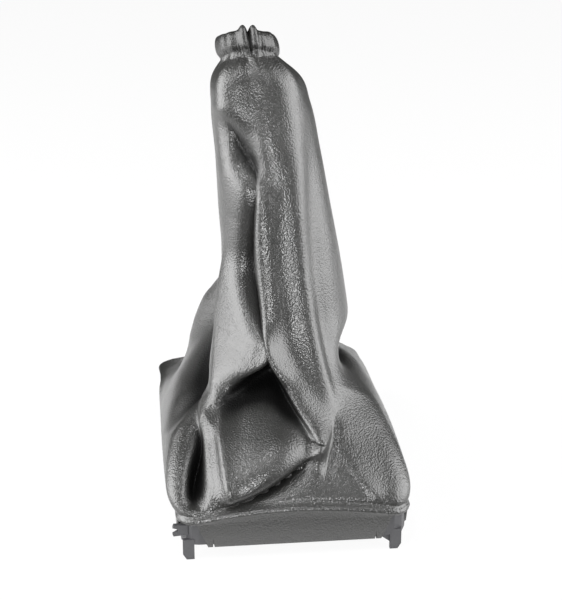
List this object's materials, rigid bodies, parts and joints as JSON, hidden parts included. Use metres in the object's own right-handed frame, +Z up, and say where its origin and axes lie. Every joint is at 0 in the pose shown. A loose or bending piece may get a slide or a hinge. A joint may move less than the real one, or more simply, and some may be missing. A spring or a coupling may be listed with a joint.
{
  "type": "handbrake gaiter",
  "caption": "Folded black leather gaiter for a handbrake lever, with a gathered collar on top and a wide foot wrapped over a rectangular clip frame.",
  "frame": {"origin": "middle of the gaiter's outline seen from above, at the level of the tips of the frame's legs", "axes": "+Z up from the legs to the collar, +Y along the frame's long side towards the side the collar leans to, +X to the right as seen from the front"},
  "size_m": [0.1253, 0.196, 0.2477],
  "materials": {
    "leather": "black grained leather with a satin sheen",
    "moulded_plastic": "black moulded plastic",
    "elastic_band": "black woven elastic"
  },
  "bodies": {
    "root": {"leather_gaiter": "leather", "clip_frame": "moulded_plastic", "collar_elastic": "elastic_band"}
  },
  "joints": []
}
